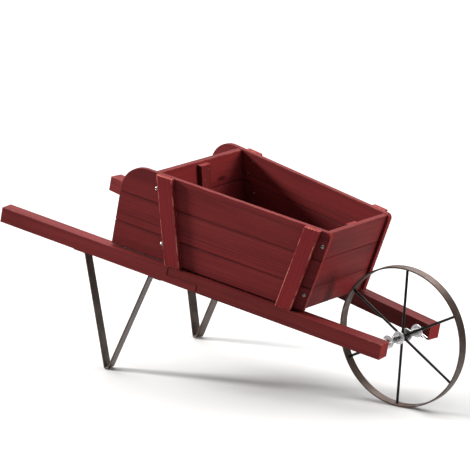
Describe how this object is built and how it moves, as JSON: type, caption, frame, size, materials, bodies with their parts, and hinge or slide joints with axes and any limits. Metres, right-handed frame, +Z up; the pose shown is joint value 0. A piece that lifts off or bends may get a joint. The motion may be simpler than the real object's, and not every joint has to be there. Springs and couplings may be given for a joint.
{
  "type": "wheelbarrow planter",
  "caption": "Decorative wooden wheelbarrow planter: planked box on converging shafts, strap-iron V legs and a spoked iron wheel centred by springs on its axle.",
  "frame": {"origin": "on the ground, under the centre of the bounding box", "axes": "+X towards the wheel, +Y to the left of someone holding the handles, +Z up; the wheel and both feet touch Z = 0"},
  "size_m": [0.9432, 0.3788, 0.405],
  "materials": {
    "shaft_wood": "dark red stain",
    "batten_wood": "dark red stain, pale at the edges",
    "plank_wood": "dark red stain",
    "inner_wood": "dark red stain, thin",
    "strap_iron": "brown-grey paint, satin",
    "wheel_iron": "brown-grey paint, satin",
    "axle_steel": "dull steel",
    "spring_zinc": "galvanised",
    "screw_zinc": "zinc plated",
    "nail_steel": "bright"
  },
  "bodies": {
    "barrow": {"shaft_handle_right": "shaft_wood", "shaft_handle_left": "shaft_wood", "shaft_front_right": "shaft_wood", "shaft_front_left": "shaft_wood", "side_plank_bottom_right": "plank_wood", "side_plank_middle_right": "plank_wood", "side_plank_top_right": "plank_wood", "side_plank_bottom_left": "plank_wood", "side_plank_middle_left": "plank_wood", "side_plank_top_left": "plank_wood", "batten_rear_right": "batten_wood", "batten_front_right": "batten_wood", "batten_rear_left": "batten_wood", "batten_front_left": "batten_wood", "front_plank_bottom": "plank_wood", "front_plank_middle": "plank_wood", "front_plank_top": "plank_wood", "rear_plank_bottom": "plank_wood", "rear_plank_middle": "plank_wood", "rear_plank_top": "plank_wood", "front_cleat": "inner_wood", "rear_cleat": "inner_wood", "floor_slat_1": "inner_wood", "floor_slat_2": "inner_wood", "floor_slat_3": "inner_wood", "floor_slat_4": "inner_wood", "floor_slat_5": "inner_wood", "leg_right": "strap_iron", "leg_left": "strap_iron", "axle_rod": "axle_steel", "spring_right": "spring_zinc", "spring_left": "spring_zinc", "spring_washer_right": "spring_zinc", "spring_washer_left": "spring_zinc", "hub_washer_right": "spring_zinc", "hub_washer_left": "spring_zinc", "split_pin_right": "spring_zinc", "split_pin_left": "spring_zinc", "side_screws_right": "screw_zinc", "side_screws_left": "screw_zinc", "lap_screws_right": "screw_zinc", "lap_screws_left": "screw_zinc", "box_screws_right": "screw_zinc", "box_screws_left": "screw_zinc", "leg_screws_right": "screw_zinc", "leg_screws_left": "screw_zinc", "batten_nails_right": "nail_steel", "batten_nails_left": "nail_steel", "cleat_nails_front": "nail_steel", "cleat_nails_rear": "nail_steel", "floor_brads_right": "nail_steel", "floor_brads_left": "nail_steel"},
    "wheel": {"wheel_hub": "wheel_iron", "wheel_rim": "wheel_iron", "spoke_1": "wheel_iron", "spoke_2": "wheel_iron", "spoke_3": "wheel_iron", "spoke_4": "wheel_iron", "spoke_5": "wheel_iron", "spoke_6": "wheel_iron"}
  },
  "joints": [
    {"name": "wheel_spin", "type": "hinge", "parent": "barrow", "child": "wheel", "pos_m": [0.33856, 0, 0.133], "axis": [0, 1, 0], "continuous": true}
  ]
}
